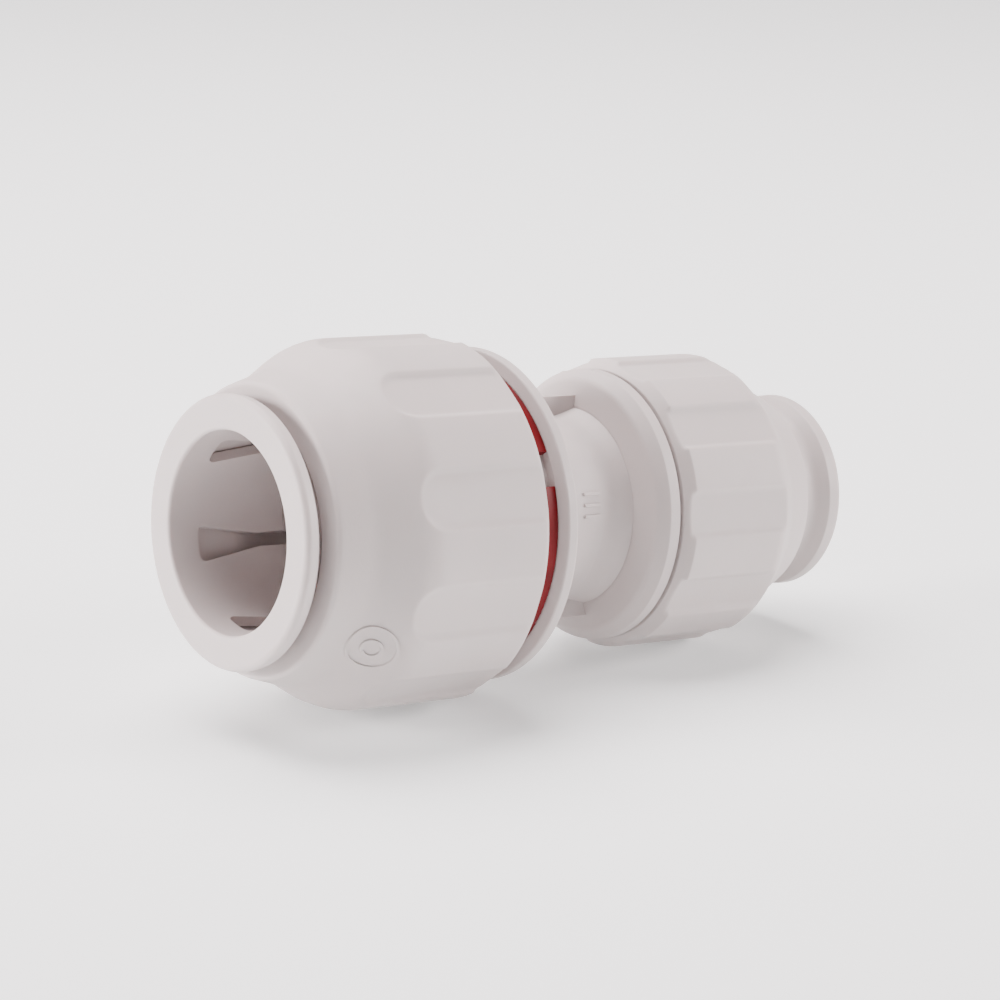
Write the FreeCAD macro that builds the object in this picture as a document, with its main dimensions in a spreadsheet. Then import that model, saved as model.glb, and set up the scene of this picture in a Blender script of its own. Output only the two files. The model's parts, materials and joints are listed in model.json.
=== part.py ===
"""Reducing push to connect pipe fitting: a body, and a collet, cap, spacer, O-ring and teeth per end."""
import FreeCAD, Part
import math
import os
import re

import Sketcher

os.makedirs("parts", exist_ok=True)
doc = FreeCAD.newDocument("PushFitting")
sheet = doc.addObject("Spreadsheet::Sheet", "Size")

X_AXIS = FreeCAD.Vector(1, 0, 0)
Z_AXIS = FreeCAD.Vector(0, 0, 1)
FULL_TURN = 360
TOUCH = 1e-6
SIDES = ("large", "small")

# Driving dimensions, in mm and degrees. Each end is measured along the axis from its own collet face.
SHARED = {
    "overall_length": 101.6,
    "full_turn": 360,
    "running_gap": 0.3,
    "close_gap": 0.05,
    "edge_round": 0.4,
    "bell_share": 0.1,
    "thread_starts": 4,
    "thread_gap": 0.35,
    "thread_bury": 0.4,
    "grip_count": 10,
    "finger_count": 6,
    "tooth_angle": 32,
    "tooth_thickness": 0.45,
    "seal_gap": 0.1,
    "waterway_step": 0.8,
    "stop_width": 1.6,
    "neck_wall": 3,
    "neck_round": 1.5,
    "gusset_width": 4,
    "gusset_height": 2.7,
    "gusset_count": 2,
    "flange_drop": 2.15,
    "flange_thickness": 1.7,
    "flange_dish": 0.65,
    "rim_drop": 1.45,
    "rim_thickness": 1.9,
    "shoulder_height": 5.1,
    "shoulder_lean": 0.95,
    "shoulder_blend": 1.5,
    "shoulder_length": 2.55,
    "crease_step": 0.3,
    "flare_length": 3.6,
    "flare_rise": 1,
    "flare_round": 8,
    "ring_thickness": 1.35,
    "ring_length": 2.3,
    "ring_split_angle": 13,
    "ring_turn": -16.7,
    "ring_round": 0.25,
    "ring_cover_gap": 0.35,
}
PER_SIDE = {
    # name: (large end, small end)
    "bore_radius": (14.2, 11.2),
    "mouth_round": (0.5, 0.4),
    "collet_wall": (1.5, 1.4),
    "collet_lip": (3.65, 1.8),
    "collet_lip_length": (2.3, 2.2),
    "collet_lip_draft": (0.35, 0.1),
    "collet_back_length": (0.05, 1.8),
    "collet_back_round": (0.6, 2),
    "collet_front_round": (0.9, 0.7),
    "collet_push": (1.7, 3),
    "cam_length": (5.05, 4.2),
    "cam_rise": (1.5, 1.25),
    "head_length": (4.45, 3.3),
    "cam_gap": (0.4, 0.35),
    "cone_lead": (1.5, 0.2),
    "relief_length": (3.9, 3.2),
    "relief_depth": (0.6, 0.5),
    "tip_chamfer": (0.8, 0.7),
    "slot_start": (4.8, 8),
    "slot_mouth": (5.3, 4.2),
    "slot_throat": (14.7, 13.2),
    "slot_width": (2, 1.7),
    "slot_round": (0.9, 0.7),
    "slot_turn": (22, -22),
    "tooth_inset": (4.7, 3.8),
    "tooth_depth": (2.2, 1.8),
    "tooth_reach": (2.2, 1.9),
    "tooth_bite": (0.15, 0.15),
    "nose_gap": (4.26, 7.24),
    "nose_drop": (5.55, 6.25),
    "nose_round": (0.9, 0.6),
    "nose_bell": (0.6, 0.5),
    "collar_length": (5.5, 5.8),
    "collar_drop": (3.95, 3.45),
    "collar_round": (9, 9),
    "shoulder_start": (12.2, 10.1),
    "shoulder_round": (8, 3),
    "cap_length": (32.3, 28.56),
    "cap_wall": (3.55, 2.95),
    "cap_gap": (4.74, 0.5),
    "cap_travel": (3.8, 0),
    "rear_chamfer": (0.8, 1.45),
    "rear_round": (1, 0.4),
    "grip_depth": (0.9, 0.8),
    "grip_width": (8, 6.5),
    "grip_start": (10.7, 5.5),
    "grip_turn": (10.2, 23),
    "sleeve_wall": (1.3, 1.1),
    "sleeve_length": (7, 5),
    "cavity_relief": (6.6, 2.6),
    "cover_length": (3.06, 2.8),
    "mouth_gap": (0.7, 0.5),
    "tube_wall": (1.8, 1.4),
    "thread_height": (1.2, 1),
    "thread_lead": (15.2, 12),
    "thread_lead_in": (0.9, 0.8),
    "thread_tail": (4.1, 3.8),
    "ridge_base": (2.2, 1.75),
    "ridge_crest": (1, 0.8),
    "spacer_lip": (2, 1.5),
    "spacer_length": (4.5, 3.3),
    "seal_inset": (0.15, 0.15),
    "seal_section": (3.5, 3),
    "seal_length": (4, 4.7),
    "guide_length": (3.5, 7.6),
    "stop_offset": (-0.3, 1.3),
}
# Sizes that follow from the driving ones, for either end.
DERIVED = {
    "collet_radius": "bore_radius + collet_wall",
    "lip_radius": "collet_radius + collet_lip",
    "head_radius": "collet_radius + cam_rise",
    "cam_end": "collet_end - head_length",
    "cam_start": "cam_end - cam_length",
    "relief_start": "collet_end - relief_length",
    "tooth_start": "collet_end - tooth_inset",
    "tooth_root_radius": "bore_radius + tooth_depth",
    "tooth_tip_radius": "bore_radius - tooth_bite",
    "nose_bore": "collet_radius + running_gap",
    "sleeve_bore": "head_radius + cam_gap",
    "sleeve_radius": "sleeve_bore + sleeve_wall",
    "chamber_bore": "sleeve_radius + running_gap",
    "thread_root": "chamber_bore + tube_wall",
    "ridge_radius": "thread_root + thread_height",
    "cap_ridge_bore": "thread_root + thread_gap",
    "cavity_radius": "ridge_radius + thread_gap",
    "land_radius": "cavity_radius + cap_wall",
    "nose_radius": "land_radius - nose_drop",
    "collar_radius": "land_radius - collar_drop",
    "grip_floor": "land_radius - grip_depth",
    "cone_start": "cam_start - cone_lead",
    "cone_end": "cone_start + ( sleeve_bore - nose_bore ) * cam_length / cam_rise",
    "bell_end": "nose_gap + ( cone_start - nose_gap ) * bell_share",
    "cap_rear": "nose_gap + cap_length",
    "seat_face": "cap_rear + cap_gap",
    "pipe_stop": "seat_face + stop_offset",
    "seal_stop": "pipe_stop - guide_length",
    "chamber_step": "seal_stop - seal_length",
    "seal_bore": "bore_radius - seal_inset",
    "seal_middle": "seal_stop - seal_gap - seal_section / 2",
    "seal_middle_radius": "seal_bore + seal_section / 2",
    "seal_seat_radius": "seal_bore + seal_section + seal_gap",
    "guide_radius": "bore_radius + close_gap",
    "spacer_end": "seal_middle - seal_section / 2 - running_gap - cap_travel",
    "spacer_face": "spacer_end - spacer_length",
    "spacer_bore": "bore_radius + running_gap",
    "sleeve_end": "spacer_face - running_gap",
    "collet_end": "spacer_face - collet_push - running_gap",
    "cavity_start": "sleeve_end - sleeve_length",
    "tube_mouth": "cavity_start + cap_travel + mouth_gap",
    "thread_pitch": "thread_lead / thread_starts",
    "body_thread_start": "tube_mouth + thread_lead_in",
    "body_thread_rise": "seat_face - thread_tail - body_thread_start - ridge_base",
    "cap_thread_start": "cavity_start + cavity_relief",
    "cap_thread_end": "cap_rear - cover_length",
    "groove_base": "ridge_base + 2 * thread_gap",
    "groove_run_up": "cap_thread_start - groove_base / 2 - running_gap",
    # sizes of the body's middle and of the red ring
    "waterway_radius": "small_bore_radius - waterway_step",
    "neck_radius": "waterway_radius + neck_wall",
    "gusset_radius": "neck_radius + gusset_height",
    "funnel_radius": "large_guide_radius - stop_width",
    "funnel_end": "flange_back + 2 * neck_round",
    "ring_bore": "large_thread_root + close_gap",
    "ring_radius": "ring_bore + ring_thickness",
    "ring_seat": "large_seat_face - flange_dish",
    "flange_radius": "large_land_radius - flange_drop",
    "flange_back": "large_seat_face + flange_thickness",
    "rim_radius": "small_land_radius - rim_drop",
    "rim_back": "overall_length - small_seat_face",
    "rim_front": "rim_back - rim_thickness",
    "shoulder_front": "rim_front - shoulder_length",
    "shoulder_radius": "neck_radius + shoulder_height",
}


def fill_sheet():
    """Write every driving dimension to a cell of its own, with its name as the alias."""
    rows = dict(SHARED)
    for name, pair in PER_SIDE.items():
        for side, value in zip(SIDES, pair):
            rows[side + "_" + name] = value
    for row, (name, value) in enumerate(rows.items(), start=1):
        sheet.set("A%d" % row, name)
        sheet.set("B%d" % row, str(value))
        sheet.setAlias("B%d" % row, name)
    doc.recompute()


def spell_out(formula, side=None):
    """Turn a formula of plain names into one of sheet cells, for one end of the fitting."""
    def cell(match):
        word = match.group(0)
        own_side, bare = side, word
        if word.split("_")[0] in SIDES:
            own_side, bare = word.split("_", 1)
        if bare in DERIVED:
            return "(" + spell_out(DERIVED[bare], own_side) + ")"
        if bare in PER_SIDE:
            return "Size." + own_side + "_" + bare
        return "Size." + word if word in SHARED else word
    return re.sub("[a-z_]+", cell, formula)


def number(formula, side=None):
    """The value of a formula."""
    return float(sheet.evalExpression(spell_out(formula, side)))


def bind(item, prop, formula, side=None):
    item.setExpression(prop, spell_out(formula, side))


def origin_feature(body, role):
    return next(item for item in body.Origin.OriginFeatures if item.Role == role)


def new_body(name):
    body = doc.addObject("PartDesign::Body", name)
    body.Label = name
    return body


def new_sketch(body, name, plane="XY_Plane"):
    sketch = body.newObject("Sketcher::SketchObject", name)
    sketch.AttachmentSupport = (origin_feature(body, plane), [""])
    sketch.MapMode = "FlatFace"
    return sketch


def pin_point(sketch, edge, end, corner, side):
    """Fix a sketch point at a pair of formulas."""
    for kind, formula in zip(("DistanceX", "DistanceY"), corner):
        index = sketch.addConstraint(Sketcher.Constraint(kind, edge, end, number(formula, side)))
        bind(sketch, "Constraints[%d]" % index, formula, side)


def rounding(before, corner, after, radius):
    """The two ends and the middle of an arc that rounds a corner."""
    back = (before - corner).normalize()
    on = (after - corner).normalize()
    half = back.getAngle(on) / 2
    reach = radius / math.tan(half)
    centre = corner + (back + on).normalize() * (radius / math.sin(half))
    middle = centre + (corner - centre).normalize() * radius
    return corner + back * reach, middle, corner + on * reach


def outline(body, name, side, corners, plane="XY_Plane"):
    """A closed outline whose corners are formulas: along, out and, where it is rounded, a radius."""
    sketch = new_sketch(body, name, plane)
    points = [FreeCAD.Vector(number(c[0], side), number(c[1], side), 0) for c in corners]
    count = len(points)
    arcs = {}
    for i, corner in enumerate(corners):
        if len(corner) == 3:
            radius = number(corner[2], side)
            arcs[i] = rounding(points[i - 1], points[i], points[(i + 1) % count], radius)
    for i in range(count):
        after = (i + 1) % count
        start = arcs[i][2] if i in arcs else points[i]
        finish = arcs[after][0] if after in arcs else points[after]
        sketch.addGeometry(Part.LineSegment(start, finish), False)
    for i, corner in enumerate(corners):
        if i in arcs:
            round_corner(sketch, i, count, side, corner, arcs[i], points[i])
        else:
            sketch.addConstraint(Sketcher.Constraint("Coincident", (i - 1) % count, 2, i, 1))
            pin_point(sketch, i, 1, corner, side)
    doc.recompute()
    return sketch


def round_corner(sketch, line, count, side, corner, arc_points, point):
    """An arc of a bound radius, tangent to the two lines that meet at a pinned corner."""
    before = (line - 1) % count
    arc = sketch.addGeometry(Part.Arc(*arc_points), False)
    mark = sketch.addGeometry(Part.Point(point), True)
    start = sketch.getPoint(arc, 1)
    first, last = (1, 2) if start.isEqual(arc_points[0], TOUCH) else (2, 1)
    pin_point(sketch, mark, 1, corner, side)
    sketch.addConstraint(Sketcher.Constraint("PointOnObject", mark, 1, before))
    sketch.addConstraint(Sketcher.Constraint("PointOnObject", mark, 1, line))
    sketch.addConstraint(Sketcher.Constraint("Tangent", before, 2, arc, first))
    sketch.addConstraint(Sketcher.Constraint("Tangent", arc, last, line, 1))
    index = sketch.addConstraint(Sketcher.Constraint("Radius", arc, number(corner[2], side)))
    bind(sketch, "Constraints[%d]" % index, corner[2], side)


def circle_outline(body, name, side, centre, radius):
    sketch = new_sketch(body, name)
    middle = FreeCAD.Vector(number(centre[0], side), number(centre[1], side), 0)
    sketch.addGeometry(Part.Circle(middle, Z_AXIS, number(radius, side)), False)
    pin_point(sketch, 0, 3, centre, side)
    index = sketch.addConstraint(Sketcher.Constraint("Radius", 0, number(radius, side)))
    bind(sketch, "Constraints[%d]" % index, radius, side)
    doc.recompute()
    return sketch


def revolve(body, name, sketch, angle=None, kind="PartDesign::Revolution"):
    """Turn an outline about the X axis, all the way or symmetrically through an angle."""
    feature = body.newObject(kind, name)
    feature.Profile = sketch
    feature.ReferenceAxis = (origin_feature(body, "X_Axis"), [""])
    feature.Angle = FULL_TURN
    if angle:
        feature.Midplane = True
        bind(feature, "Angle", angle)
    doc.recompute()
    return feature


def round_edges(body, name, side, edges, radius):
    base = body.Tip
    feature = body.newObject("PartDesign::Fillet", name)
    feature.Base = (base, edges)
    bind(feature, "Radius", radius, side)
    doc.recompute()
    return feature


def pocket_up(body, name, sketch):
    """Cut an outline upwards through everything, from its own plane."""
    feature = body.newObject("PartDesign::Pocket", name)
    feature.Profile = sketch
    feature.Type = "ThroughAll"
    feature.Reversed = True
    before = feature.BaseFeature.Shape.Volume
    doc.recompute()
    if feature.Shape.Volume >= before:
        raise ValueError(name + " cuts nothing")
    return feature


def repeat(body, name, features, count):
    """Copy features round the X axis, by the number in a cell."""
    pattern = body.newObject("PartDesign::PolarPattern", name)
    pattern.Originals = features
    pattern.Axis = (origin_feature(body, "X_Axis"), [""])
    pattern.Angle = FULL_TURN
    bind(pattern, "Occurrences", count)
    body.Tip = pattern
    doc.recompute()
    return pattern


def multi_start_thread(body, name, side, sketch, kind, rise):
    """Sweep an outline along a right-hand helix about the X axis, once for each thread start."""
    feature = body.newObject(kind, name)
    feature.Profile = sketch
    feature.ReferenceAxis = (origin_feature(body, "X_Axis"), [""])
    feature.Mode = "pitch-height-angle"
    bind(feature, "Pitch", "thread_lead", side)
    bind(feature, "Height", rise, side)
    doc.recompute()
    return repeat(body, name + "_starts", [feature], "thread_starts")


def place(body, side, turn=0):
    """Put a piece at its end of the fitting, turned about the axis."""
    facing = FreeCAD.Rotation() if side == "large" else FreeCAD.Rotation(Z_AXIS, 180)
    turned = FreeCAD.Rotation(X_AXIS, turn).multiply(facing)
    body.Placement = FreeCAD.Placement(FreeCAD.Vector(), turned)
    sign = "-" if side == "large" else ""
    bind(body, "Placement.Base.x", sign + "overall_length / 2")


def ridge_corners(start):
    """The cross-section of one thread ridge, from a start along the axis."""
    flank = "( ridge_base - ridge_crest ) / 2"
    return [
        (start, "thread_root - thread_bury"),
        (start, "thread_root"),
        (start + " + " + flank, "ridge_radius"),
        (start + " + ridge_base - " + flank, "ridge_radius"),
        (start + " + ridge_base", "thread_root"),
        (start + " + ridge_base", "thread_root - thread_bury"),
    ]


def make_main_body():
    body = new_body("main_body")
    end = "overall_length - "
    corners = [
        ("large_tube_mouth", "large_chamber_bore"),
        ("large_tube_mouth", "large_thread_root - edge_round"),
        ("large_tube_mouth + edge_round", "large_thread_root"),
        ("ring_seat", "large_thread_root"),
        ("ring_seat", "ring_radius"),
        ("large_seat_face", "flange_radius", "edge_round"),
        ("flange_back", "flange_radius", "edge_round"),
        ("flange_back", "neck_radius", "neck_round"),
        ("shoulder_front - flare_length", "neck_radius", "flare_round"),
        ("shoulder_front", "neck_radius + flare_rise"),
        ("shoulder_front", "neck_radius + flare_rise + crease_step"),
        ("shoulder_front + shoulder_lean", "shoulder_radius", "shoulder_blend"),
        ("rim_front", "rim_radius", "edge_round"),
        ("rim_back", "rim_radius", "edge_round"),
        ("rim_back", "small_thread_root"),
        (end + "small_tube_mouth - edge_round", "small_thread_root"),
        (end + "small_tube_mouth", "small_thread_root - edge_round"),
        (end + "small_tube_mouth", "small_chamber_bore"),
        (end + "small_chamber_step", "small_chamber_bore"),
        (end + "small_chamber_step", "small_seal_seat_radius"),
        (end + "small_seal_stop", "small_seal_seat_radius"),
        (end + "small_seal_stop", "small_guide_radius"),
        (end + "small_pipe_stop", "small_guide_radius"),
        (end + "small_pipe_stop", "waterway_radius"),
        ("funnel_end", "waterway_radius"),
        ("large_pipe_stop", "funnel_radius"),
        ("large_pipe_stop", "large_guide_radius"),
        ("large_seal_stop", "large_guide_radius"),
        ("large_seal_stop", "large_seal_seat_radius"),
        ("large_chamber_step", "large_seal_seat_radius"),
        ("large_chamber_step", "large_chamber_bore"),
    ]
    revolve(body, "body_turned", outline(body, "body_outline", None, corners))
    add_gussets(body)
    add_body_thread(body, "large", "large_body_thread_start")
    add_body_thread(body, "small",
                    end + "small_body_thread_start - small_ridge_base - small_body_thread_rise")
    bind(body, "Placement.Base.x", "-overall_length / 2")
    return body


def add_gussets(body):
    """Flat ribs between the large flange and the small shoulder, above and below the neck."""
    inside = "neck_radius - neck_wall / 2"
    corners = [
        ("flange_back - flange_thickness / 2", inside),
        ("shoulder_front + shoulder_lean", inside),
        ("shoulder_front + shoulder_lean", "gusset_radius"),
        ("flange_back - flange_thickness / 2", "gusset_radius"),
    ]
    pad = body.newObject("PartDesign::Pad", "gusset")
    pad.Profile = outline(body, "gusset_outline", None, corners, "XZ_Plane")
    pad.Midplane = True
    bind(pad, "Length", "gusset_width")
    doc.recompute()
    repeat(body, "gussets", [pad], "gusset_count")


def add_body_thread(body, side, start):
    sketch = outline(body, side + "_ridge_outline", side, ridge_corners(start))
    multi_start_thread(body, side + "_ridge", side, sketch, "PartDesign::AdditiveHelix",
                       "body_thread_rise")


def make_lock_ring():
    """Red split ring that the large cap covers once it is locked."""
    ring = new_body("lock_indicator_ring")
    corners = [
        ("ring_seat - close_gap - ring_length", "ring_bore"),
        ("ring_seat - close_gap - ring_length", "ring_radius", "ring_round"),
        ("ring_seat - close_gap", "ring_radius", "ring_round"),
        ("ring_seat - close_gap", "ring_bore"),
    ]
    sketch = outline(ring, "ring_outline", None, corners)
    revolve(ring, "ring_turned", sketch, "%d - ring_split_angle" % FULL_TURN)
    place(ring, "large", number("ring_turn"))
    return ring


def make_o_ring(side):
    ring = new_body(side + "_o_ring")
    sketch = circle_outline(ring, side + "_seal_outline", side,
                            ("seal_middle", "seal_middle_radius"), "seal_section / 2")
    revolve(ring, side + "_seal_turned", sketch)
    place(ring, side)
    return ring


def make_spacer(side):
    """Ring that the cap's sleeve pushes towards the O-ring."""
    spacer = new_body(side + "_spacer_ring")
    corners = [
        ("spacer_face", "spacer_bore"),
        ("spacer_face", "sleeve_radius"),
        ("spacer_face + spacer_lip", "sleeve_radius"),
        ("spacer_face + spacer_lip", "seal_seat_radius - running_gap"),
        ("spacer_end", "seal_seat_radius - running_gap"),
        ("spacer_end", "spacer_bore"),
    ]
    revolve(spacer, side + "_spacer_turned", outline(spacer, side + "_spacer_outline", side, corners))
    place(spacer, side)
    return spacer


def make_cap(side):
    cap = new_body(side + "_lock_cap")
    corners = [
        ("nose_gap", "nose_bore + nose_bell"),
        ("nose_gap", "nose_radius", "nose_round"),
        ("nose_gap + collar_length", "collar_radius", "collar_round"),
        ("nose_gap + shoulder_start", "land_radius", "shoulder_round"),
        ("cap_rear - rear_chamfer", "land_radius", "rear_round"),
        ("cap_rear", "land_radius - rear_chamfer"),
        ("cap_rear", "cavity_radius"),
        ("cap_thread_end", "cavity_radius"),
        ("cap_thread_end", "cap_ridge_bore"),
        ("cap_thread_start", "cap_ridge_bore"),
        ("cap_thread_start", "cavity_radius"),
        ("cavity_start", "cavity_radius"),
        ("cavity_start", "sleeve_radius"),
        ("sleeve_end", "sleeve_radius"),
        ("sleeve_end", "sleeve_bore"),
        ("cone_end", "sleeve_bore"),
        ("cone_start", "nose_bore"),
        ("bell_end", "nose_bore"),
    ]
    if side == "large":
        cover = "ring_radius + ring_cover_gap"
        corners[6] = ("cap_rear", cover)
        corners[7] = ("cap_thread_end", cover)
    revolve(cap, side + "_cap_turned", outline(cap, side + "_cap_outline", side, corners))
    add_grips(cap, side)
    add_cap_thread(cap, side)
    place(cap, side, number("grip_turn", side))
    return cap


def add_cap_thread(cap, side):
    """Grooves that run on the body's ridges, in step with them where the cap stands."""
    if side == "large":
        in_step = "body_thread_start + ridge_base / 2 + thread_lead * grip_turn / full_turn"
    else:
        in_step = ("body_thread_start + ridge_base / 2 + body_thread_rise"
                   " - thread_lead * ( 1 / 2 + grip_turn / full_turn )")
    middle = ("( %s - thread_pitch * ceil( ( %s - groove_run_up ) / thread_pitch ) )"
              % (in_step, in_step))
    half_crest = "( ridge_crest / 2 + thread_gap )"
    inner = "cap_ridge_bore - thread_gap"
    corners = [
        (middle + " - groove_base / 2", inner),
        (middle + " - groove_base / 2", "cap_ridge_bore"),
        (middle + " - " + half_crest, "cavity_radius"),
        (middle + " + " + half_crest, "cavity_radius"),
        (middle + " + groove_base / 2", "cap_ridge_bore"),
        (middle + " + groove_base / 2", inner),
    ]
    sketch = outline(cap, side + "_groove_outline", side, corners)
    multi_start_thread(cap, side + "_groove", side, sketch, "PartDesign::SubtractiveHelix",
                       "cap_thread_end - groove_run_up + groove_base + thread_pitch")


def add_grips(cap, side):
    """Shallow finger flats round the cap, open at its rear, with a round front end."""
    sketch = new_sketch(cap, side + "_grip_outline")
    bind(sketch, "AttachmentOffset.Base.z", "grip_floor", side)
    half = number("grip_width / 2", side)
    front = number("nose_gap + grip_start + grip_width / 2", side)
    rear = number("cap_rear + grip_depth", side)
    centre = FreeCAD.Vector(front, 0, 0)
    circle = Part.Circle(centre, Z_AXIS, half)
    corners = [FreeCAD.Vector(front, -half, 0), FreeCAD.Vector(rear, -half, 0),
               FreeCAD.Vector(rear, half, 0), FreeCAD.Vector(front, half, 0)]
    sketch.addGeometry(Part.ArcOfCircle(circle, math.pi / 2, 3 * math.pi / 2), False)
    for first, second in zip(corners, corners[1:]):
        sketch.addGeometry(Part.LineSegment(first, second), False)
    for edge in range(4):
        sketch.addConstraint(Sketcher.Constraint("Coincident", edge, 2, (edge + 1) % 4, 1))
    pin_point(sketch, 0, 3, ("nose_gap + grip_start + grip_width / 2", "0"), side)
    pin_point(sketch, 1, 1, ("nose_gap + grip_start + grip_width / 2", "-grip_width / 2"), side)
    pin_point(sketch, 2, 1, ("cap_rear + grip_depth", "-grip_width / 2"), side)
    pin_point(sketch, 3, 1, ("cap_rear + grip_depth", "grip_width / 2"), side)
    sketch.addConstraint(Sketcher.Constraint("Vertical", 0, 1, 0, 2))
    doc.recompute()
    repeat(cap, side + "_grips", [pocket_up(cap, side + "_grip", sketch)], "grip_count")


def tooth_corners(spare):
    """A strip that slopes in and away from the mouth, with spare room round it if asked."""
    return [
        ("tooth_start - %s" % spare, "tooth_root_radius + %s" % spare),
        ("tooth_start + tooth_reach - %s" % spare, "tooth_tip_radius"),
        ("tooth_start + tooth_reach + tooth_thickness + %s" % spare, "tooth_tip_radius"),
        ("tooth_start + tooth_thickness + %s" % spare, "tooth_root_radius + %s" % spare),
    ]


def make_collet(side):
    """Slotted gripping sleeve, with a push ring outside and cam heads on its fingers."""
    collet = new_body(side + "_collet")
    corners = [
        ("0", "bore_radius", "mouth_round"),
        ("0", "lip_radius", "collet_front_round"),
        ("collet_lip_length", "lip_radius - collet_lip_draft", "edge_round"),
        ("collet_lip_length + collet_back_length", "collet_radius", "collet_back_round"),
        ("cam_start", "collet_radius"),
        ("cam_end", "head_radius"),
        ("collet_end - tip_chamfer", "head_radius"),
        ("collet_end", "head_radius - tip_chamfer"),
        ("collet_end", "bore_radius + relief_depth"),
        ("relief_start + relief_depth", "bore_radius + relief_depth"),
        ("relief_start", "bore_radius"),
    ]
    revolve(collet, side + "_collet_turned", outline(collet, side + "_collet_outline", side, corners))
    revolve(collet, side + "_tooth_groove",
            outline(collet, side + "_groove_line", side, tooth_corners("close_gap")),
            kind="PartDesign::Groove")
    slot = [
        ("slot_start", "-slot_mouth / 2"),
        ("slot_throat", "-slot_width / 2"),
        ("collet_end + slot_width", "-slot_width / 2"),
        ("collet_end + slot_width", "slot_width / 2"),
        ("slot_throat", "slot_width / 2"),
        ("slot_start", "slot_mouth / 2"),
    ]
    cut = pocket_up(collet, side + "_slot", outline(collet, side + "_slot_outline", side, slot))
    repeat(collet, side + "_slots", [cut], "finger_count")
    round_slot_corners(collet, side)
    place(collet, side, number("slot_turn", side))
    return collet


def round_slot_corners(collet, side):
    """Round the wide end of each slot, where its edges run through the wall."""
    start = number("slot_start", side)
    tolerance = 0.01
    edges = []
    for index, edge in enumerate(collet.Tip.Shape.Edges, start=1):
        ends = [vertex.Point for vertex in edge.Vertexes]
        straight = isinstance(edge.Curve, Part.Line)
        if straight and all(abs(point.x - start) < tolerance for point in ends):
            edges.append("Edge%d" % index)
    round_edges(collet, side + "_slot_corners", side, edges, "slot_round")


def make_teeth(side):
    """One stainless tooth strip in each finger."""
    teeth = []
    count = int(number("finger_count"))
    for index in range(count):
        name = "%s_tooth_%d" % (side, index + 1)
        tooth = new_body(name)
        sketch = outline(tooth, name + "_outline", side, tooth_corners("0"))
        revolve(tooth, name + "_turned", sketch, "tooth_angle")
        place(tooth, side, number("slot_turn", side) + FULL_TURN * index / count)
        teeth.append(tooth)
    return teeth


def check_document():
    for item in doc.Objects:
        if "Invalid" in item.State or "Error" in item.State:
            raise ValueError("failed: " + item.Name)


def export(nodes):
    for node in nodes:
        if node.Shape.isNull() or not node.Shape.isValid() or len(node.Shape.Solids) != 1:
            raise ValueError("bad shape: " + node.Label)
        node.Shape.exportStep("parts/%s.step" % node.Label)


fill_sheet()
nodes = [make_main_body(), make_lock_ring()]
for end_name in SIDES:
    nodes += [make_o_ring(end_name), make_spacer(end_name), make_cap(end_name), make_collet(end_name)]
    nodes += make_teeth(end_name)
doc.recompute()
check_document()
export(nodes)
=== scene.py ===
"""Looks of the push to connect fitting: white moulded plastic, a red ring, rubber seals and steel teeth."""
import json
import math

import bmesh
import bpy
from mathutils import Matrix, Vector


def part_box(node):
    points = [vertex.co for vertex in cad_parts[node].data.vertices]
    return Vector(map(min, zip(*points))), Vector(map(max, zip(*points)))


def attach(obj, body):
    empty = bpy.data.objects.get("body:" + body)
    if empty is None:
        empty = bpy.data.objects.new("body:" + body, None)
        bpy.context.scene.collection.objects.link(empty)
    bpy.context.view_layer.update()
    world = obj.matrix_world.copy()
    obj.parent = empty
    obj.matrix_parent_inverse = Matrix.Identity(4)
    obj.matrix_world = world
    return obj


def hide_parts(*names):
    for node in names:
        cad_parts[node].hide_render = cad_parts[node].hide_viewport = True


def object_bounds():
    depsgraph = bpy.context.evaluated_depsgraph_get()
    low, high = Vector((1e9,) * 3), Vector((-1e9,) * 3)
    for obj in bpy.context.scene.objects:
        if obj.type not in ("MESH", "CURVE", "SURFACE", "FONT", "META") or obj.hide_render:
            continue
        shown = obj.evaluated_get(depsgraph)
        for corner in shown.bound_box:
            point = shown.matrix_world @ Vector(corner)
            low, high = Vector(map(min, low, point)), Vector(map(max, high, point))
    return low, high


MM = 0.001

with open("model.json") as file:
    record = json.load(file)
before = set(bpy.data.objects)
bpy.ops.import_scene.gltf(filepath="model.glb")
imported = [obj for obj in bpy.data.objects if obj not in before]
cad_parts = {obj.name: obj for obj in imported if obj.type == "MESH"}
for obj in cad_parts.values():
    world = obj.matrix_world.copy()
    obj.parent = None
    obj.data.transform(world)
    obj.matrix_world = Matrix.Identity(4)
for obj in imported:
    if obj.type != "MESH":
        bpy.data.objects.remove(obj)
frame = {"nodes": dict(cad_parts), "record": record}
cad_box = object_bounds()


# ---------------------------------------------------------------- node helpers
def new_material(name):
    """An empty Principled material, with its node tree and its shader."""
    material = bpy.data.materials.new(name)
    material.use_nodes = True
    tree = material.node_tree
    tree.nodes.clear()
    output = tree.nodes.new("ShaderNodeOutputMaterial")
    shader = tree.nodes.new("ShaderNodeBsdfPrincipled")
    tree.links.new(shader.outputs["BSDF"], output.inputs["Surface"])
    return material, tree, shader


def noise(tree, scale, detail=2.0, roughness=0.5):
    """Noise in the object's own space, so that it moves with its piece."""
    coordinates = tree.nodes.new("ShaderNodeTexCoord")
    node = tree.nodes.new("ShaderNodeTexNoise")
    node.inputs["Scale"].default_value = scale
    node.inputs["Detail"].default_value = detail
    node.inputs["Roughness"].default_value = roughness
    tree.links.new(coordinates.outputs["Object"], node.inputs["Vector"])
    return node.outputs["Fac"]


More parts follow.
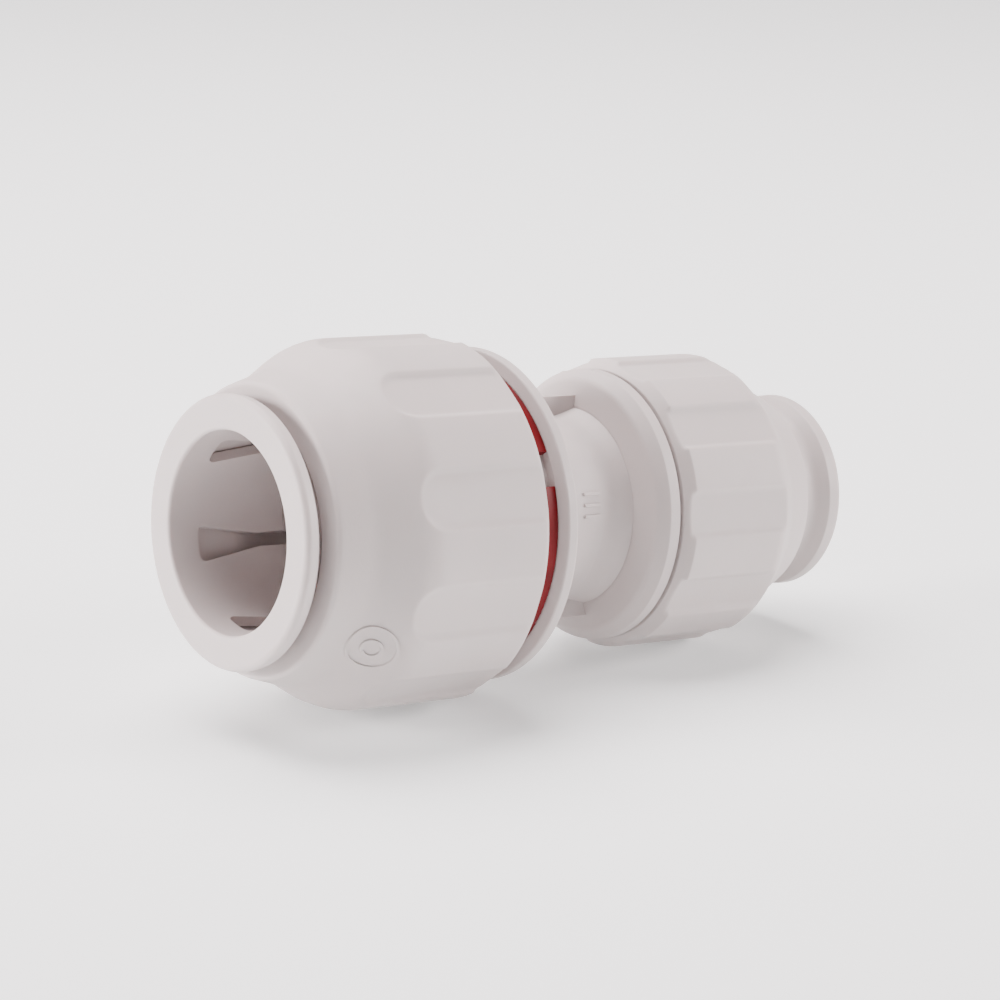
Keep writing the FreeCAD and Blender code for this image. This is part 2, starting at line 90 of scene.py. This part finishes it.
def ramp(tree, value, stops):
    """Map a value through colour stops: (position, (r, g, b))."""
    node = tree.nodes.new("ShaderNodeValToRGB")
    elements = node.color_ramp.elements
    while len(elements) < len(stops):
        elements.new(1.0)
    for element, (position, colour) in zip(elements, stops):
        element.position = position
        element.color = (*colour, 1.0)
    tree.links.new(value, node.inputs["Fac"])
    return node.outputs["Color"]


def spread(tree, value, low, high):
    """Stretch the middle of a noise value to a range."""
    node = tree.nodes.new("ShaderNodeMapRange")
    node.inputs["From Min"].default_value = 0.3
    node.inputs["From Max"].default_value = 0.7
    node.inputs["To Min"].default_value = low
    node.inputs["To Max"].default_value = high
    tree.links.new(value, node.inputs["Value"])
    return node.outputs["Result"]


def bump(tree, shader, height, distance, strength=1.0, under=None):
    """Bend the shader's normal by a height, over the bump beneath it if there is one."""
    node = tree.nodes.new("ShaderNodeBump")
    node.inputs["Distance"].default_value = distance
    node.inputs["Strength"].default_value = strength
    tree.links.new(height, node.inputs["Height"])
    if under is not None:
        tree.links.new(under, node.inputs["Normal"])
    tree.links.new(node.outputs["Normal"], shader.inputs["Normal"])
    return node.outputs["Normal"]


def shade(colour, factor):
    """The colour with each channel scaled by a factor."""
    return tuple(channel * factor for channel in colour)


# ---------------------------------------------------------------- materials
def moulded_plastic(name, colour, rough, grain):
    """Fine spark-eroded mould texture, with faint clouding and patches of smoother skin."""
    material, tree, shader = new_material(name)
    clouds = noise(tree, 90, 3.0)
    tint = ramp(tree, clouds, [(0.3, shade(colour, 0.965)), (0.7, colour)])
    tree.links.new(tint, shader.inputs["Base Color"])
    tree.links.new(spread(tree, noise(tree, 400, 2.0), rough - 0.06, rough + 0.06),
                   shader.inputs["Roughness"])
    coarse = bump(tree, shader, noise(tree, 260, 2.0), 0.05 * MM, 0.5)
    bump(tree, shader, noise(tree, 2600, 3.0, 0.6), grain * MM, 1.0, coarse)
    shader.inputs["Subsurface Weight"].default_value = 0.25
    shader.inputs["Subsurface Radius"].default_value = (1.2, 0.9, 0.8)
    shader.inputs["Subsurface Scale"].default_value = 1.0 * MM
    shader.inputs["IOR"].default_value = 1.49
    return material


def red_plastic():
    """Deep red, slightly glossy plastic."""
    material, tree, shader = new_material("red_plastic")
    tint = ramp(tree, noise(tree, 300), [(0.3, (0.11, 0.0, 0.002)), (0.7, (0.16, 0.001, 0.004))])
    tree.links.new(tint, shader.inputs["Base Color"])
    shader.inputs["Roughness"].default_value = 0.45
    shader.inputs["Specular IOR Level"].default_value = 0.2
    bump(tree, shader, noise(tree, 1500, 2.0), 0.01 * MM)
    return material


def rubber():
    """Black seal rubber with a faint mottle."""
    material, tree, shader = new_material("seal_rubber")
    tint = ramp(tree, noise(tree, 500, 3.0), [(0.3, (0.012, 0.012, 0.012)), (0.7, (0.03, 0.03, 0.03))])
    tree.links.new(tint, shader.inputs["Base Color"])
    shader.inputs["Roughness"].default_value = 0.55
    bump(tree, shader, noise(tree, 3000), 0.01 * MM)
    return material


def stamped_steel():
    """Thin stamped strip with uneven polish."""
    material, tree, shader = new_material("tooth_steel")
    tint = ramp(tree, noise(tree, 1200, 3.0), [(0.3, (0.42, 0.41, 0.4)), (0.7, (0.6, 0.58, 0.56))])
    tree.links.new(tint, shader.inputs["Base Color"])
    shader.inputs["Metallic"].default_value = 1.0
    tree.links.new(spread(tree, noise(tree, 4000), 0.22, 0.4), shader.inputs["Roughness"])
    bump(tree, shader, noise(tree, 5000), 0.004 * MM)
    return material


WHITE = (0.55, 0.495, 0.485)
MATERIALS = {
    "white_body": moulded_plastic("body_plastic", shade(WHITE, 0.97), 0.55, 0.012),
    "white_cap": moulded_plastic("cap_plastic", WHITE, 0.6, 0.018),
    "white_collet": moulded_plastic("collet_plastic", shade(WHITE, 1.02), 0.5, 0.008),
    "white_spacer": moulded_plastic("spacer_plastic", shade(WHITE, 0.95), 0.45, 0.006),
    "red_ring": red_plastic(),
    "seal_rubber": rubber(),
    "tooth_steel": stamped_steel(),
}


def dress_cad_nodes():
    """Give every CAD node the material that its record names."""
    slots = {row["node"]: row["material_slot"] for row in frame["record"]["subparts"]}
    for name, node in frame["nodes"].items():
        node.data.materials.clear()
        node.data.materials.append(MATERIALS[slots[name]])


dress_cad_nodes()


# ---------------------------------------------------------------- turned shells
class End:
    """One end of the fitting: u is the distance in mm from its own collet face."""

    def __init__(self, name, face, facing, **sizes):
        self.name = name
        self.face = face
        self.facing = facing
        low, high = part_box(name + "_lock_cap")
        ends = sorted(facing * (corner.x / MM - face) for corner in (low, high))
        self.nose, self.rear = ends
        self.land_radius = high.z / MM
        self.__dict__.update(sizes)

    def point(self, u, out, angle):
        """The frame point at u, out mm from the axis, angle degrees from +Z, right-handed about +X."""
        turn = math.radians(angle)
        along = self.face + self.facing * u
        return Vector((along, -out * math.sin(turn), out * math.cos(turn))) * MM


HALF_LENGTH = cad_box[1].x / MM
LARGE = End(
    "large", -HALF_LENGTH, 1,
    nose_bore=16.0, nose_bell=0.6, nose_radius=20.55, nose_round=0.9,
    collar=9.76, collar_radius=22.15, collar_round=9, shoulder=16.46, shoulder_round=8,
    rear_chamfer=0.8, rear_round=1.0, cover_radius=22.75,
    thread_start=24.6, thread_end=33.5, ridge_bore=21.35, cavity_radius=22.55, cavity_start=18.0,
    sleeve_radius=18.9, sleeve_end=25.0, sleeve_bore=17.6, cone_start=12.3, cone_end=17.7,
    pitch=3.8, lead=15.2, groove_at=24.5, groove_crest=0.85, groove_base=1.45,
    grip_front=18.96, grip_half=4.0, grip_floor=25.2, grip_turn=82.2,
)
SMALL = End(
    "small", HALF_LENGTH, -1,
    nose_bore=12.9, nose_bell=0.5, nose_radius=15.05, nose_round=0.6,
    collar=13.04, collar_radius=17.85, collar_round=9, shoulder=17.34, shoulder_round=3,
    rear_chamfer=1.45, rear_round=0.4, cover_radius=18.35,
    thread_start=20.6, thread_end=33.0, ridge_bore=17.35, cavity_radius=18.35, cavity_start=18.0,
    sleeve_radius=15.3, sleeve_end=23.0, sleeve_bore=14.2, cone_start=12.3, cone_end=16.7,
    pitch=3.0, lead=-12.0, groove_at=31.625, groove_crest=0.75, groove_base=1.225,
    grip_front=15.99, grip_half=3.25, grip_floor=20.5, grip_turn=95.0,
)
BELL_SHARE = 0.1  # of the way from the nose to the cone
GRIP_COUNT = 10
GRIP_SOFTNESS = 0.75  # mm, the width of a grip's soft edge
COLUMNS = 400
SURFACE_STEP = 0.4  # mm
SHARP_ANGLE = 45
TOLERANCE = 1e-6


def rounded(corners, steps=6):
    """A closed outline with its corners (along, out, radius) turned into arcs."""
    points = []
    for index, corner in enumerate(corners):
        here = Vector(corner[:2])
        if len(corner) == 2:
            points.append(here)
            continue
        back = (Vector(corners[index - 1][:2]) - here).normalized()
        on = (Vector(corners[(index + 1) % len(corners)][:2]) - here).normalized()
        half = back.angle(on) / 2
        centre = here + (back + on).normalized() * corner[2] / math.sin(half)
        start = here + back * corner[2] / math.tan(half) - centre
        sweep = (math.pi - 2 * half) * (1 if start.cross(on) > 0 else -1)
        for step in range(steps + 1):
            turn = Matrix.Rotation(sweep * step / steps, 2)
            points.append(centre + turn @ start)
    return points


def divided(points, step):
    """The same closed outline with no stretch longer than step."""
    fine = []
    for here, after in zip(points, points[1:] + points[:1]):
        pieces = max(1, math.ceil((after - here).length / step))
        fine += [here.lerp(after, k / pieces) for k in range(pieces)]
    return fine


def turned(name, end, points, shape):
    """A closed shell: an outline turned about X, each vertex moved out or in by shape(u, out, angle)."""
    rings = [
        [end.point(p.x, shape(p.x, p.y, 360 * k / COLUMNS), 360 * k / COLUMNS) for k in range(COLUMNS)]
        for p in points
    ]
    vertices = [vertex for ring in rings for vertex in ring]
    faces = []
    for i in range(len(points)):
        j = (i + 1) % len(points)
        for k in range(COLUMNS):
            n = (k + 1) % COLUMNS
            faces.append((i * COLUMNS + k, j * COLUMNS + k, j * COLUMNS + n, i * COLUMNS + n))
    mesh = bpy.data.meshes.new(name)
    mesh.from_pydata(vertices, [], faces)
    shell = bmesh.new()
    shell.from_mesh(mesh)
    bmesh.ops.recalc_face_normals(shell, faces=shell.faces)
    shell.to_mesh(mesh)
    shell.free()
    mesh.shade_smooth()
    mesh.set_sharp_from_angle(angle=math.radians(SHARP_ANGLE))
    item = bpy.data.objects.new(name, mesh)
    bpy.context.scene.collection.objects.link(item)
    return item


def smooth_step(value):
    """Ease a value from 0 to 1, level at both ends."""
    value = min(1.0, max(0.0, value))
    return value * value * (3 - 2 * value)


def cap_outline(end):
    """The cap's section, from the nose round to the thread, the sleeve and the cone."""
    bell_end = end.nose + (end.cone_start - end.nose) * BELL_SHARE
    return [
        (end.nose, end.nose_bore + end.nose_bell, 0.3),
        (end.nose, end.nose_radius, end.nose_round),
        (end.collar, end.collar_radius, end.collar_round),
        (end.shoulder, end.land_radius, end.shoulder_round),
        (end.rear - end.rear_chamfer, end.land_radius, end.rear_round),
        (end.rear, end.land_radius - end.rear_chamfer, 0.3),
        (end.rear, end.cover_radius, 0.25),
        (end.thread_end, end.cover_radius),
        (end.thread_end, end.ridge_bore),
        (end.thread_start, end.ridge_bore),
        (end.thread_start, end.cavity_radius),
        (end.cavity_start, end.cavity_radius),
        (end.cavity_start, end.sleeve_radius),
        (end.sleeve_end, end.sleeve_radius),
        (end.sleeve_end, end.sleeve_bore),
        (end.cone_end, end.sleeve_bore),
        (end.cone_start, end.nose_bore),
        (bell_end, end.nose_bore),
    ]


def grip_cut(end, u, out, angle):
    """How far out the skin is once the soft-edged finger flats are pressed in."""
    pitch = 360 / GRIP_COUNT
    off = math.radians((angle - end.grip_turn + pitch / 2) % pitch - pitch / 2)
    across = abs(out * math.sin(off))
    ahead = max(0.0, end.grip_front - u)
    inside = end.grip_half - math.hypot(ahead, across)
    floor = end.grip_floor / math.cos(off)
    press = smooth_step(inside / GRIP_SOFTNESS + 0.5)
    return out + (min(out, floor) - out) * press


def groove_cut(end, u, angle):
    """How far out the thread's crest or groove is."""
    middle = end.groove_at + end.lead * (angle + 90) / 360
    off = abs((u - middle + end.pitch / 2) % end.pitch - end.pitch / 2)
    depth = (end.groove_base - off) / (end.groove_base - end.groove_crest)
    depth = min(1.0, max(0.0, depth))
    return end.ridge_bore + (end.cavity_radius - end.ridge_bore) * depth


def make_cap(end):
    """Redraw a lock cap with softened finger grips, in place of its CAD node."""

    def shape(u, out, angle):
        if out > end.grip_floor - TOLERANCE:
            return grip_cut(end, u, out, angle)
        on_crest = abs(out - end.ridge_bore) < TOLERANCE
        if on_crest and end.thread_start < u < end.thread_end:
            return groove_cut(end, u, angle)
        return out

    points = divided(rounded(cap_outline(end)), SURFACE_STEP)
    cap = turned(end.name + "_cap_shell", end, points, shape)
    cap.data.materials.append(MATERIALS["white_cap"])
    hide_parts(end.name + "_lock_cap")
    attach(cap, end.name + "_cap")


make_cap(LARGE)
make_cap(SMALL)


# ---------------------------------------------------------------- generic raised marks
# Sizes are in mm, MARK_DRAFT is a share of half a bar's width, and a centre is (u, angle).
MARK_HEIGHT = 0.26
MARK_SINK = 0.3
MARK_DRAFT = 0.35
BAR_WIDTH = 0.6
RING_RADII = (3.6, 1.4)
RING_STEPS = 60
RING_CENTRE = (11.6, 134.5)
BAR_REACH = 1.4
BAR_OFFSETS = (-1.6, 0.0, 1.6)
BAR_CENTRE = (54.1, 88)
NECK_RADIUS = 13.4


def cap_skin(end, u):
    """The cap's outer radius at u, read from its outline."""
    points = rounded(cap_outline(end))
    reach = 0.0
    for here, after in zip(points, points[1:]):
        if min(here.x, after.x) <= u <= max(here.x, after.x) and here.x != after.x:
            share = (u - here.x) / (after.x - here.x)
            reach = max(reach, here.y + (after.y - here.y) * share)
    return reach


def strip(shell, end, skin, centre, line, closed):
    """A raised bar with drafted sides along a line of (along, round) offsets in mm from a centre."""
    middle_u, middle_angle = centre
    last = len(line) - 1
    section = ((-1, -MARK_SINK), (MARK_DRAFT - 1, MARK_HEIGHT),
               (1 - MARK_DRAFT, MARK_HEIGHT), (1, -MARK_SINK))
    rows = []
    for index, (along, around) in enumerate(line):
        before = Vector(line[index - 1] if closed else line[max(0, index - 1)])
        after = Vector(line[(index + 1) % len(line)] if closed else line[min(last, index + 1)])
        side = (after - before).normalized().orthogonal() * BAR_WIDTH / 2
        row = []
        for reach, rise in section:
            u = middle_u + along + side.x * reach
            out = skin(u)
            angle = middle_angle + math.degrees((around + side.y * reach) / out)
            row.append(shell.verts.new(end.point(u, out + rise, angle)))
        rows.append(row)
    following_rows = rows[1:] + rows[:1] if closed else rows[1:]
    for row, following in zip(rows, following_rows):
        for k in range(len(section)):
            n = (k + 1) % len(section)
            shell.faces.new((row[k], row[n], following[n], following[k]))
    if not closed:
        shell.faces.new(rows[0])
        shell.faces.new(rows[-1])


def marks(name, end, skin, centre, lines, closed, body, slot):
    """One piece of raised bars or closed rings that rides a body."""
    shell = bmesh.new()
    for line in lines:
        strip(shell, end, skin, centre, line, closed)
    bmesh.ops.recalc_face_normals(shell, faces=shell.faces)
    mesh = bpy.data.meshes.new(name)
    shell.to_mesh(mesh)
    shell.free()
    item = bpy.data.objects.new(name, mesh)
    bpy.context.scene.collection.objects.link(item)
    mesh.materials.append(MATERIALS[slot])
    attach(item, body)


def circle(radius, squeeze):
    """Points round a circle, squeezed along the axis where the skin slopes."""
    turns = [2 * math.pi * k / RING_STEPS for k in range(RING_STEPS)]
    return [(radius * math.cos(turn) * squeeze, radius * math.sin(turn)) for turn in turns]


def make_marks():
    """Two plain rings on the large cap and three short bars on the neck, in place of lettering."""
    rise = math.atan2(LARGE.land_radius - LARGE.collar_radius, LARGE.shoulder - LARGE.collar)
    rings = [circle(radius, math.cos(rise)) for radius in RING_RADII]
    marks("large_cap_ring_marks", LARGE, lambda u: cap_skin(LARGE, u), RING_CENTRE, rings, True,
          "large_cap", "white_cap")
    bars = [[(-BAR_REACH, offset), (BAR_REACH, offset)] for offset in BAR_OFFSETS]
    marks("neck_marks", LARGE, lambda u: NECK_RADIUS, BAR_CENTRE, bars, False,
          "fitting_body", "white_body")


make_marks()


# ---------------------------------------------------------------- stage, lights, camera
FLOOR_ROLL = 11.8  # degrees
FLOOR_REACH = 3  # m, from its middle to each side
SHOULDER_BACK = 10 * MM  # from the small cap's face to where it rests
LAMP_TINT = (1.0, 0.92, 0.925)
LAMPS = (
    ("top", (-0.1, 0.1, 0.9), 1.0, 29),
    ("left", (-0.95, 0.45, 0.25), 0.4, 23),
    ("right", (0.75, -0.65, 0.25), 0.4, 14),
)
CAMERA_PLACE = (-0.3582, -0.4546, 0.0237)
CAMERA_LOOKS = (0.6154, 0.7873, -0.0383)
CAMERA_UP = (0.0621, 0, 0.998)


def make_floor():
    """A pale floor that touches the large cap's rear edge and the small cap's front shoulder."""
    large_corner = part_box("large_lock_cap")[1]
    small_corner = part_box("small_lock_cap")[1]
    rear = large_corner.x
    front = small_corner.x - SHOULDER_BACK
    roll = math.radians(FLOOR_ROLL)
    slope = (large_corner.z - small_corner.z) / (rear - front)
    normal = Vector((slope, -math.sin(roll), math.cos(roll))).normalized()
    across = math.sqrt(1 - normal.x ** 2)
    height = normal.x * rear - large_corner.z * across
    corners = [(FLOOR_REACH * x, FLOOR_REACH * y, 0) for x, y in ((-1, -1), (1, -1), (1, 1), (-1, 1))]
    mesh = bpy.data.meshes.new("floor")
    mesh.from_pydata(corners, [], [(0, 1, 2, 3)])
    floor = bpy.data.objects.new("floor", mesh)
    bpy.context.scene.collection.objects.link(floor)
    floor.rotation_mode = "QUATERNION"
    floor.rotation_quaternion = normal.to_track_quat("Z", "Y")
    floor.location = normal * height
    material, tree, shader = new_material("floor_paint")
    shader.inputs["Base Color"].default_value = (0.85, 0.88, 0.88, 1)
    shader.inputs["Roughness"].default_value = 0.9
    shader.inputs["Emission Color"].default_value = (1, 1, 1, 1)
    shader.inputs["Emission Strength"].default_value = 0.3
    mesh.materials.append(material)


def aim(item, target):
    """Turn a lamp to face a point."""
    direction = Vector(target) - item.location
    item.rotation_mode = "QUATERNION"
    item.rotation_quaternion = direction.to_track_quat("-Z", "Y")


def soft_light(name, place, size, power):
    """A round lamp of a size in m and a power in W, facing the object."""
    lamp = bpy.data.lights.new(name, "AREA")
    lamp.shape = "DISK"
    lamp.size = size
    lamp.energy = power
    lamp.color = LAMP_TINT
    item = bpy.data.objects.new(name, lamp)
    bpy.context.scene.collection.objects.link(item)
    item.location = place
    aim(item, (0, 0, 0))


def make_lights():
    """A dim even world and three soft lamps."""
    world = bpy.data.worlds.new("studio")
    bpy.context.scene.world = world
    world.use_nodes = True
    background = world.node_tree.nodes["Background"]
    background.inputs["Color"].default_value = (1, 1, 1, 1)
    background.inputs["Strength"].default_value = 0.05
    for name, place, size, power in LAMPS:
        soft_light(name, place, size, power)


def make_camera():
    """A long lens, low and to the side of the large end."""
    data = bpy.data.cameras.new("camera")
    data.lens = 144
    data.sensor_width = 36
    data.clip_start = 0.01
    data.clip_end = 20
    camera = bpy.data.objects.new("camera", data)
    bpy.context.scene.collection.objects.link(camera)
    back = -Vector(CAMERA_LOOKS).normalized()
    up = Vector(CAMERA_UP)
    right = up.cross(back).normalized()
    up = back.cross(right)
    turn = Matrix((right, up, back)).transposed().to_4x4()
    camera.matrix_world = Matrix.Translation(CAMERA_PLACE) @ turn
    bpy.context.scene.camera = camera


make_floor()
make_lights()
make_camera()
